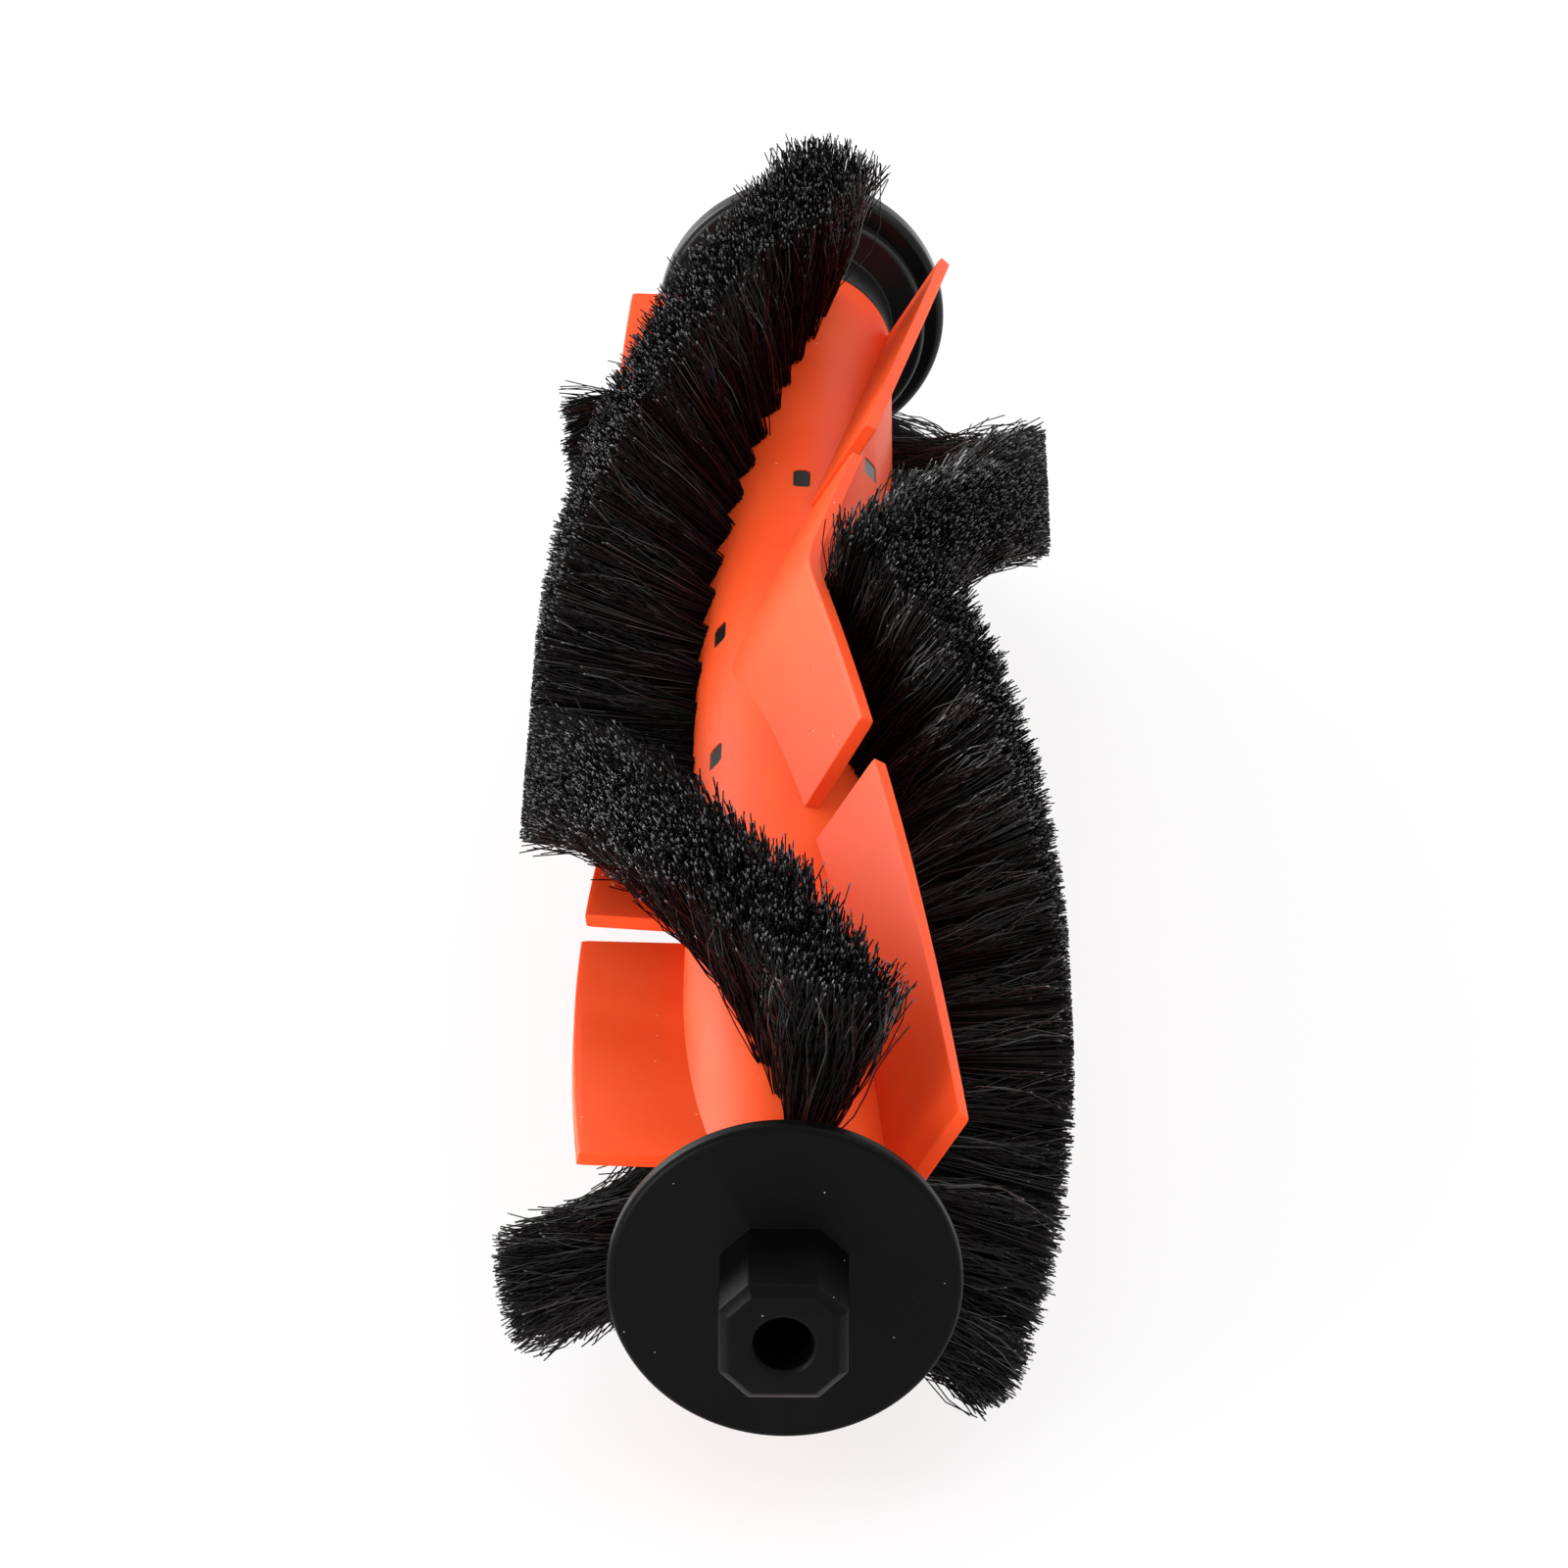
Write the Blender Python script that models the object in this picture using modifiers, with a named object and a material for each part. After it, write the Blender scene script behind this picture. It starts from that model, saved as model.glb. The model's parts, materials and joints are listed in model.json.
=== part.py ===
"""Robot vacuum main brush: an orange split-flap sleeve with three V rows of tufted bristles.

The roller lies along +Y on its bristle tips, drive end towards -Y.  Lengths are in metres.
Angles around the roller are in degrees, from +X (right) towards +Z (up).
"""

from math import asin, cos, degrees, pi, radians, sin

import bmesh
import bpy
from mathutils import Matrix, Vector

# Driving dimensions of the roller
CORE_RADIUS = 0.0079
DISC_RADIUS = 0.0125
TIP_RADIUS = 0.021
FLAP_TIP_RADIUS = 0.0159
FLAP_HALF_LENGTH = 0.0768
FACE_GAP = 0.0003
CUT_OVERRUN = 0.001

# Drive end: disc, chamfered square boss and the spigot that plugs the shaft
DISC_THICKNESS = 0.00145
DISC_EDGE_ROUND = 0.00055
BOSS_WIDTH = 0.009
BOSS_LENGTH = 0.0085
BOSS_CORNER_CHAMFER = 0.00205
BOSS_NOSE_CHAMFER = 0.00067
SOCKET_RADIUS = 0.00205
SOCKET_DEPTH = 0.0132
SOCKET_MOUTH_CHAMFER = 0.0002
SPIGOT_LENGTH = 0.011
SPIGOT_LEAD_IN = 0.0006

# Orange sleeve with its three V flaps
SLEEVE_WALL = 0.0014
DRIVE_END_MARGIN = 0.00545
IDLE_END_MARGIN = 0.0021
FLAP_COUNT = 3
FLAP_RADIAL_AT = 0.0419
FLAP_SKEW_SHARE = 0.1603
FLAP_ANGLE = 58.3
FLAP_THICKNESS = 0.0011
FLAP_LIP_WIDTH = 0.0017
FLAP_TIP_THICKNESS = 0.00065
FLAP_INNER_EDGE = 0.003
FLAP_CORNER_ROUND = 0.0008
SLIT_FROM_APEX = 0.024
SLIT_ROOT_WIDTH = 0.0047
SLIT_TIP_WIDTH = 0.0063
SLIT_FLOOR_STEP = 0.0002

# Slots in the sleeve: distance from the apex, and angle from the flap's foot
WINDOW_LENGTH = 0.0031
WINDOW_WIDTH = 0.00125
WINDOW_NEAR_APEX = 0.011
WINDOW_MIDDLE = 0.0352
WINDOW_OUTER = 0.0431
WINDOW_PLACES = ((-WINDOW_NEAR_APEX, 42), (WINDOW_NEAR_APEX, 42), (WINDOW_MIDDLE, 21),
                 (WINDOW_OUTER, -17))

# Bristle rows: tufts set in round holes along a V
ROW_COUNT = 3
ROW_APEX_ANGLE = 185.5
ROW_SWEEP_ANGLE = 107.25
ROW_END_MARGIN = 0.0018
TUFTS_PER_ARM = 15
TUFT_ROOT_RADIUS = 0.0012
TUFT_HOLE_CLEARANCE = 0.00025
TUFT_SPREAD_SHARE = 0.92
REST_FLAT_DEPTH = 0.00035
TUFT_SIDES = 6

# Black inner shaft with the collar and hair guard of the idle end, and pads that fill the slots
SHAFT_WALL = 0.0022
PAD_RECESS = 0.00035
SHAFT_BORE_END_WALL = 0.014
HAIR_GUARD_RADIUS = 0.0108
HAIR_GUARD_THICKNESS = 0.0019
HAIR_GUARD_EDGE_ROUND = 0.0004
IDLE_COLLAR_LENGTH = 0.0049
NOSE_RADIUS = 0.0023
NOSE_LENGTH = 0.0008

# Ball bearing at the idle end
BEARING_BORE_RADIUS = 0.0015
BEARING_OUTER_RADIUS = 0.005
BEARING_WIDTH = 0.004
BALL_PITCH_RADIUS = 0.0033
BALL_RADIUS = 0.00079
BALL_COUNT = 7
RACE_SHOULDER = 0.00045
BALL_CLEARANCE = 0.00005
SHIELD_THICKNESS = 0.00025
SHIELD_SEAT_DEPTH = 0.00045
SHIELD_LAND = 0.0006
CAGE_THICKNESS = 0.0005
CAGE_RIM = 0.00025
CAGE_POCKET_CLEARANCE = 0.0001
FIT_GAP = 0.0001
PIN_LENGTH_IN_SHAFT = 0.0125
PIN_END_CHAMFER = 0.0003

# Idle end cap that carries the bearing and stands still in the machine
IDLE_CAP_THICKNESS = 0.0026
IDLE_CAP_EDGE_ROUND = 0.0007
HUB_RADIUS = 0.007
HUB_END_WALL = 0.0012
HUB_END_CHAMFER = 0.0005

# Steps of the round forms
DISC_SEGMENTS = 40
SLEEVE_SEGMENTS = 32
BORE_SEGMENTS = 24
BALL_SEGMENTS = 10
BALL_RINGS = 6

# Places along the roller, measured from the front of the drive disc
SLEEVE_START = DISC_THICKNESS + FACE_GAP
APEX = SLEEVE_START + DRIVE_END_MARGIN + FLAP_HALF_LENGTH
SLEEVE_END = APEX + FLAP_HALF_LENGTH + IDLE_END_MARGIN
SLEEVE_BORE_RADIUS = CORE_RADIUS - SLEEVE_WALL
SHAFT_RADIUS = SLEEVE_BORE_RADIUS - FACE_GAP
SHAFT_BORE_RADIUS = SHAFT_RADIUS - SHAFT_WALL
SHAFT_START = DISC_THICKNESS + FACE_GAP
COLLAR_START = SLEEVE_END + FACE_GAP
GUARD_START = COLLAR_START + IDLE_COLLAR_LENGTH
GUARD_END = GUARD_START + HAIR_GUARD_THICKNESS
CAP_START = GUARD_END + FACE_GAP
CAP_RIM_END = CAP_START + IDLE_CAP_THICKNESS
BEARING_START = GUARD_END + NOSE_LENGTH + FACE_GAP
BEARING_MIDDLE = BEARING_START + BEARING_WIDTH / 2
BEARING_END = BEARING_START + BEARING_WIDTH
POCKET_END = BEARING_END + FACE_GAP
HUB_END = POCKET_END + HUB_END_WALL
ROW_HALF_LENGTH = FLAP_HALF_LENGTH - ROW_END_MARGIN
TUFT_PITCH = ROW_HALF_LENGTH / TUFTS_PER_ARM
TUFT_TIP_SPREAD = TUFT_SPREAD_SHARE * TUFT_PITCH
AXIS_HEIGHT = TIP_RADIUS - REST_FLAT_DEPTH
ROLLER_START = (BOSS_LENGTH - HUB_END) / 2


def clear_scene():
    """Remove the objects of the start-up scene."""
    for thing in list(bpy.data.objects):
        bpy.data.objects.remove(thing, do_unlink=True)


def new_collection(name):
    """A collection linked into the scene."""
    collection = bpy.data.collections.new(name)
    bpy.context.scene.collection.children.link(collection)
    return collection


clear_scene()
brush = new_collection("robot_vacuum_brush")
cutters = new_collection("brush_cutters")

# The roller's own frame: +Y along its axis, origin at the front of the drive disc
roller = bpy.data.objects.new("roller_axis", None)
roller.location = (0, ROLLER_START, AXIS_HEIGHT)
brush.objects.link(roller)


def plastic(name, colour, roughness, metallic=0.0):
    """A Principled material for one sub-part."""
    material = bpy.data.materials.new(name)
    material.use_nodes = True
    shader = material.node_tree.nodes["Principled BSDF"]
    shader.inputs["Base Color"].default_value = (*colour, 1)
    shader.inputs["Roughness"].default_value = roughness
    shader.inputs["Metallic"].default_value = metallic
    return material


def place(name, mesh, material, collection=None):
    """Put a mesh on the roller as a named sub-part, shaded smooth up to its sharp edges."""
    part = bpy.data.objects.new(name, mesh)
    mesh.materials.append(material)
    mesh.shade_smooth()
    mesh.set_sharp_from_angle(angle=radians(32))
    (collection or brush).objects.link(part)
    part.parent = roller
    return part


def place_cutter(name, mesh):
    """Put a mesh on the roller as a cutter that only Booleans use."""
    cutter = bpy.data.objects.new(name, mesh)
    cutter.display_type = "WIRE"
    cutter.hide_render = True
    cutters.objects.link(cutter)
    cutter.parent = roller
    return cutter


def boolean(part, operation, other):
    """Add an exact Boolean between a part and a guide or cutter."""
    modifier = part.modifiers.new(operation.lower() + "_" + other.name, "BOOLEAN")
    modifier.operation = operation
    modifier.solver = "EXACT"
    modifier.object = other
    return modifier


def mesh_from(bm, name):
    """Turn a bmesh into a mesh."""
    mesh = bpy.data.meshes.new(name)
    bm.to_mesh(mesh)
    bm.free()
    return mesh


def around(radius, angle, along):
    """A point on the roller by its radius, angle in degrees and place along the axis."""
    return Vector((radius * cos(radians(angle)), along, radius * sin(radians(angle))))


def profile_mesh(name, loops, closed):
    """Edges of turned outlines, given as (radius, place along the roller) points."""
    mesh = bpy.data.meshes.new(name)
    points = []
    edges = []
    for loop in loops:
        first = len(points)
        points += [(radius, 0, along) for radius, along in loop]
        edges += [(first + i, first + i + 1) for i in range(len(loop) - 1)]
        if closed:
            edges.append((len(points) - 1, first))
    mesh.from_pydata(points, edges, [])
    return mesh


def turn(part, segments):
    """Turn a profile about the roller's axis; its outer side runs from idle end to drive end."""
    part.rotation_euler = (-pi / 2, 0, 0)
    screw = part.modifiers.new("turned", "SCREW")
    screw.steps = segments
    screw.render_steps = segments
    screw.use_merge_vertices = True
    screw.merge_threshold = CUT_OVERRUN / 1000
    return part


def arc(centre_radius, centre_along, radius, start, end, steps=3):
    """Points of an arc on a turned outline; 0 degrees points outwards, 90 to the idle end."""
    angles = [radians(start + (end - start) * i / steps) for i in range(steps + 1)]
    return [(centre_radius + radius * cos(a), centre_along + radius * sin(a)) for a in angles]


def bar(name, radius, start, end, segments):
    """A plain round bar along the roller's axis."""
    bm = bmesh.new()
    turned = Matrix.Translation((0, (start + end) / 2, 0)) @ Matrix.Rotation(pi / 2, 4, "X")
    bmesh.ops.create_cone(bm, cap_ends=True, segments=segments, radius1=radius, radius2=radius,
                          depth=end - start, matrix=turned)
    bmesh.ops.recalc_face_normals(bm, faces=bm.faces)
    return mesh_from(bm, name)


def row_angle(row, from_apex):
    """Angle of a bristle row at a distance from its apex."""
    return ROW_APEX_ANGLE - 360 / ROW_COUNT * row - ROW_SWEEP_ANGLE * abs(from_apex) / ROW_HALF_LENGTH


def flap_shift(from_apex):
    """How far a flap's flat blade lies to the side of the axis at a distance from its apex."""
    return FLAP_SKEW_SHARE * (FLAP_RADIAL_AT - abs(from_apex))


def flap_foot_angle(flap, from_apex):
    """Angle at which a flap leaves the core at a distance from its apex."""
    return FLAP_ANGLE + 360 / FLAP_COUNT * flap + degrees(asin(flap_shift(from_apex) / CORE_RADIUS))


def tuft_places():
    """Distances of a row's tufts from the apex, drive end first."""
    return [TUFT_PITCH * number for number in range(-TUFTS_PER_ARM, TUFTS_PER_ARM + 1)]


# Materials
orange_rubber = plastic("orange soft rubber", (0.9, 0.125, 0.042), 0.42)
black_plastic = plastic("black moulded plastic", (0.011, 0.011, 0.012), 0.5)
shaft_plastic = plastic("dark grey shaft plastic", (0.028, 0.029, 0.031), 0.48)
cap_plastic = plastic("black bearing cap plastic", (0.012, 0.012, 0.013), 0.4)
black_nylon = plastic("black nylon bristle", (0.008, 0.008, 0.008), 0.45)
bearing_steel = plastic("ground bearing steel", (0.56, 0.56, 0.57), 0.22, 1.0)
pin_steel = plastic("drawn pin steel", (0.5, 0.5, 0.51), 0.3, 1.0)
cage_steel = plastic("pressed cage steel", (0.45, 0.44, 0.42), 0.35, 1.0)


def drive_end_cap():
    """Disc with a chamfered square drive boss in front and a plug for the shaft behind."""
    spigot_radius = SHAFT_BORE_RADIUS - FACE_GAP
    spigot_end = SHAFT_START + SPIGOT_LENGTH
    front_round = arc(DISC_RADIUS - DISC_EDGE_ROUND, DISC_EDGE_ROUND, DISC_EDGE_ROUND, 0, -90)
    outline = [(0, spigot_end), (spigot_radius - SPIGOT_LEAD_IN, spigot_end),
               (spigot_radius, spigot_end - SPIGOT_LEAD_IN), (spigot_radius, DISC_THICKNESS),
               (DISC_RADIUS, DISC_THICKNESS), *front_round, (0, 0)]
    cap = turn(place("drive_end_cap", profile_mesh("drive_disc", [outline], False), black_plastic),
               DISC_SEGMENTS)

    bm = bmesh.new()
    length = BOSS_LENGTH + DISC_THICKNESS / 2
    bmesh.ops.create_cube(bm, size=1)
    bmesh.ops.scale(bm, vec=(BOSS_WIDTH, length, BOSS_WIDTH), verts=bm.verts)
    bmesh.ops.translate(bm, vec=(0, length / 2 - BOSS_LENGTH, 0), verts=bm.verts)
    corners = [edge for edge in bm.edges if edge.verts[0].co.y != edge.verts[1].co.y]
    bmesh.ops.bevel(bm, geom=corners, offset=BOSS_CORNER_CHAMFER, segments=1, affect="EDGES")
    nose = [edge for edge in bm.edges if all(v.co.y < CUT_OVERRUN - BOSS_LENGTH for v in edge.verts)]
    bmesh.ops.bevel(bm, geom=nose, offset=BOSS_NOSE_CHAMFER, segments=1, affect="EDGES")
    boolean(cap, "UNION", place_cutter("drive_boss", mesh_from(bm, "drive_boss")))

    mouth = SOCKET_RADIUS + SOCKET_MOUTH_CHAMFER + CUT_OVERRUN
    floor = SOCKET_DEPTH - BOSS_LENGTH
    bore = [(0, floor), (SOCKET_RADIUS, floor), (SOCKET_RADIUS, SOCKET_MOUTH_CHAMFER - BOSS_LENGTH),
            (mouth, -BOSS_LENGTH - CUT_OVERRUN), (0, -BOSS_LENGTH - CUT_OVERRUN)]
    cutter = place_cutter("drive_socket", profile_mesh("drive_socket", [bore], False))
    boolean(cap, "DIFFERENCE", turn(cutter, BORE_SEGMENTS))


def slot_blocks(name, inner, outer, clearance):
    """Blocks on the places of the sleeve's slots, smaller than the slots by a clearance."""
    bm = bmesh.new()
    length = WINDOW_LENGTH - 2 * clearance
    width = WINDOW_WIDTH - 2 * clearance
    for flap in range(FLAP_COUNT):
        for from_apex, from_foot in WINDOW_PLACES:
            angle = flap_foot_angle(flap, from_apex) + from_foot
            middle = around((inner + outer) / 2, angle, APEX + from_apex)
            size = Matrix.Diagonal((outer - inner, length, width, 1))
            turned = Matrix.Rotation(-radians(angle), 4, "Y")
            bmesh.ops.create_cube(bm, size=1, matrix=Matrix.Translation(middle) @ turned @ size)
    bmesh.ops.recalc_face_normals(bm, faces=bm.faces)
    return place_cutter(name, mesh_from(bm, name))


def core_shaft():
    """Inner tube that ends in a collar, a hair guard and a nose for the bearing."""
    pin_hole = BEARING_BORE_RADIUS
    bore_end = GUARD_END - SHAFT_BORE_END_WALL
    guard_front = arc(HAIR_GUARD_RADIUS - HAIR_GUARD_EDGE_ROUND, GUARD_START + HAIR_GUARD_EDGE_ROUND,
                      HAIR_GUARD_EDGE_ROUND, 0, -90, 2)
    outline = [(pin_hole, GUARD_END + NOSE_LENGTH), (NOSE_RADIUS, GUARD_END + NOSE_LENGTH),
               (NOSE_RADIUS, GUARD_END), (HAIR_GUARD_RADIUS, GUARD_END), *guard_front,
               (CORE_RADIUS, GUARD_START), (CORE_RADIUS, COLLAR_START), (SHAFT_RADIUS, COLLAR_START),
               (SHAFT_RADIUS, SHAFT_START), (SHAFT_BORE_RADIUS, SHAFT_START),
               (SHAFT_BORE_RADIUS, bore_end), (pin_hole, bore_end)]
    shaft = turn(place("core_shaft", profile_mesh("core_shaft", [outline], True), shaft_plastic),
                 SLEEVE_SEGMENTS)
    pads = slot_blocks("shaft_pads", SHAFT_RADIUS - SHAFT_WALL / 2, CORE_RADIUS - PAD_RECESS, FACE_GAP)
    boolean(shaft, "UNION", pads)


def flap_blades():
    """Three V blades: flat plates folded at the apex, each thinned to a lip along its tip."""
    bm = bmesh.new()
    outer = FLAP_TIP_RADIUS + CUT_OVERRUN
    reach = outer - FLAP_INNER_EDGE
    lip_share = (reach - CUT_OVERRUN - FLAP_LIP_WIDTH) / reach
    lip_taper = (FLAP_THICKNESS - FLAP_TIP_THICKNESS) / FLAP_LIP_WIDTH
    for flap in range(FLAP_COUNT):
        plate = bmesh.ops.create_cube(bm, size=1)["verts"]
        for place_of_cut, across in (((0, 0, 0), (0, 1, 0)), ((lip_share - 0.5, 0, 0), (1, 0, 0))):
            geometry = plate + list({edge for v in plate for edge in v.link_edges})
            geometry += list({face for v in plate for face in v.link_faces})
            cut = bmesh.ops.bisect_plane(bm, geom=geometry, plane_co=place_of_cut, plane_no=across)
            plate += [item for item in cut["geom_cut"] if isinstance(item, bmesh.types.BMVert)]
        for vert in plate:
            out_share = vert.co.x + 0.5
            thickness = FLAP_THICKNESS - lip_taper * reach * max(0, out_share - lip_share)
            from_apex = vert.co.y * 2 * (FLAP_HALF_LENGTH + CUT_OVERRUN)
            vert.co = (FLAP_INNER_EDGE + reach * out_share, APEX + from_apex,
                       vert.co.z * thickness + flap_shift(from_apex))
        # A turn from X towards Z is a negative turn about Y
        turned = Matrix.Rotation(-radians(FLAP_ANGLE + 360 / FLAP_COUNT * flap), 3, "Y")
        bmesh.ops.transform(bm, matrix=turned, verts=plate)
    bmesh.ops.recalc_face_normals(bm, faces=bm.faces)
    return place_cutter("flap_blades", mesh_from(bm, "flap_blades"))


def flap_envelope():
    """Turned body that gives the blades their round outer edge and round end corners."""
    drive_end = APEX - FLAP_HALF_LENGTH
    idle_end = APEX + FLAP_HALF_LENGTH
    inner = FLAP_TIP_RADIUS - FLAP_CORNER_ROUND
    outline = [(0, idle_end), *arc(inner, idle_end - FLAP_CORNER_ROUND, FLAP_CORNER_ROUND, 90, 0),
               *arc(inner, drive_end + FLAP_CORNER_ROUND, FLAP_CORNER_ROUND, 0, -90), (0, drive_end)]
    mesh = profile_mesh("flap_envelope", [outline], False)
    return turn(place_cutter("flap_envelope", mesh), 2 * DISC_SEGMENTS)


def slit_rings():
    """Two turned rings that split each flap on both sides of the apex, wider at the tips."""
    floor = CORE_RADIUS + SLIT_FLOOR_STEP
    outside = FLAP_TIP_RADIUS + CUT_OVERRUN
    splay = (SLIT_TIP_WIDTH - SLIT_ROOT_WIDTH) * (outside - floor) / (FLAP_TIP_RADIUS - floor)
    from_apex = SLIT_FROM_APEX + SLIT_ROOT_WIDTH
    idle_side = [(floor, APEX + from_apex), (outside, APEX + from_apex + splay),
                 (outside, APEX + SLIT_FROM_APEX), (floor, APEX + SLIT_FROM_APEX)]
    drive_side = [(floor, APEX - SLIT_FROM_APEX), (outside, APEX - SLIT_FROM_APEX),
                  (outside, APEX - from_apex - splay), (floor, APEX - from_apex)]
    mesh = profile_mesh("slit_rings", [idle_side, drive_side], True)
    return turn(place_cutter("slit_rings", mesh), 2 * DISC_SEGMENTS)


def tuft_holes():
    """Round holes through the sleeve, one for each tuft."""
    bm = bmesh.new()
    radius = TUFT_ROOT_RADIUS + TUFT_HOLE_CLEARANCE
    inner = SLEEVE_BORE_RADIUS - CUT_OVERRUN
    outer = CORE_RADIUS + CUT_OVERRUN
    for row in range(ROW_COUNT):
        for from_apex in tuft_places():
            angle = row_angle(row, from_apex)
            middle = around((inner + outer) / 2, angle, APEX + from_apex)
            matrix = Matrix.Translation(middle) @ Matrix.Rotation(pi / 2 - radians(angle), 4, "Y")
            bmesh.ops.create_cone(bm, cap_ends=True, segments=TUFT_SIDES, radius1=radius,
                                  radius2=radius, depth=outer - inner, matrix=matrix)
    bmesh.ops.recalc_face_normals(bm, faces=bm.faces)
    return place_cutter("tuft_holes", mesh_from(bm, "tuft_holes"))


def flap_sleeve():
    """Orange sleeve moulded with its flaps, then holed for the tufts and the slots."""
    blades = flap_blades()
    boolean(blades, "INTERSECT", flap_envelope())
    boolean(blades, "DIFFERENCE", slit_rings())
    solid = bar("flap_sleeve", CORE_RADIUS, SLEEVE_START, SLEEVE_END, SLEEVE_SEGMENTS)
    sleeve = place("flap_sleeve", solid, orange_rubber)
    bore = bar("sleeve_bore", SLEEVE_BORE_RADIUS, SLEEVE_START - CUT_OVERRUN, SLEEVE_END + CUT_OVERRUN,
               BORE_SEGMENTS)
    boolean(sleeve, "UNION", blades)
    boolean(sleeve, "DIFFERENCE", place_cutter("sleeve_bore", bore))
    boolean(sleeve, "DIFFERENCE", tuft_holes())
    slots = slot_blocks("window_slots", SLEEVE_BORE_RADIUS - CUT_OVERRUN, CORE_RADIUS + CUT_OVERRUN, 0)
    boolean(sleeve, "DIFFERENCE", slots)


def add_tuft(bm, angle, along):
    """One tuft: a straight root in its hole, then a cone of bristles out to the trimmed tips."""
    root = SHAFT_RADIUS + FACE_GAP
    mouth = CORE_RADIUS + FACE_GAP
    rings = []
    for height, spread in ((root, TUFT_ROOT_RADIUS), (mouth, TUFT_ROOT_RADIUS),
                           (TIP_RADIUS, TUFT_TIP_SPREAD)):
        ring = bmesh.ops.create_circle(bm, segments=TUFT_SIDES, radius=spread)["verts"]
        # The sideways offset of each bristle wraps round the roller
        for vert in ring:
            vert.co = around(height, angle + degrees(vert.co.x / height), along + vert.co.y)
        rings.append(ring)
    bm.faces.new(rings[0])
    for lower, upper in zip(rings, rings[1:]):
        for side in range(TUFT_SIDES):
            bm.faces.new((lower[side - 1], lower[side], upper[side], upper[side - 1]))
    crown = bm.faces.new(rings[-1])
    tip = bmesh.ops.poke(bm, faces=[crown])["verts"][0]
    tip.co = around(TIP_RADIUS, angle, along)


def tuft_mesh(name, row, places):
    """Tufts of one row at the given distances from the apex, clear of each other."""
    bm = bmesh.new()
    for from_apex in places:
        add_tuft(bm, row_angle(row, from_apex), APEX + from_apex)
    bmesh.ops.recalc_face_normals(bm, faces=bm.faces)
    return mesh_from(bm, name)


def bristle_row(row):
    """A V row: every other tuft in one mesh, joined by the tufts between, flat where it rests."""
    name = "bristle_row_" + str(row + 1)
    places = tuft_places()
    bristles = place(name, tuft_mesh(name, row, places[0::2]), black_nylon)
    between = place_cutter(name + "_between", tuft_mesh(name + "_between", row, places[1::2]))
    boolean(bristles, "UNION", between)

    bm = bmesh.new()
    length = 2 * (FLAP_HALF_LENGTH + TUFT_TIP_SPREAD)
    bmesh.ops.create_cube(bm, size=1)
    bmesh.ops.scale(bm, vec=(2 * TIP_RADIUS, length, TIP_RADIUS), verts=bm.verts)
    bmesh.ops.translate(bm, vec=(0, APEX, -AXIS_HEIGHT - TIP_RADIUS / 2), verts=bm.verts)
    boolean(bristles, "DIFFERENCE", place_cutter(name + "_floor", mesh_from(bm, name + "_floor")))


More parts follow.
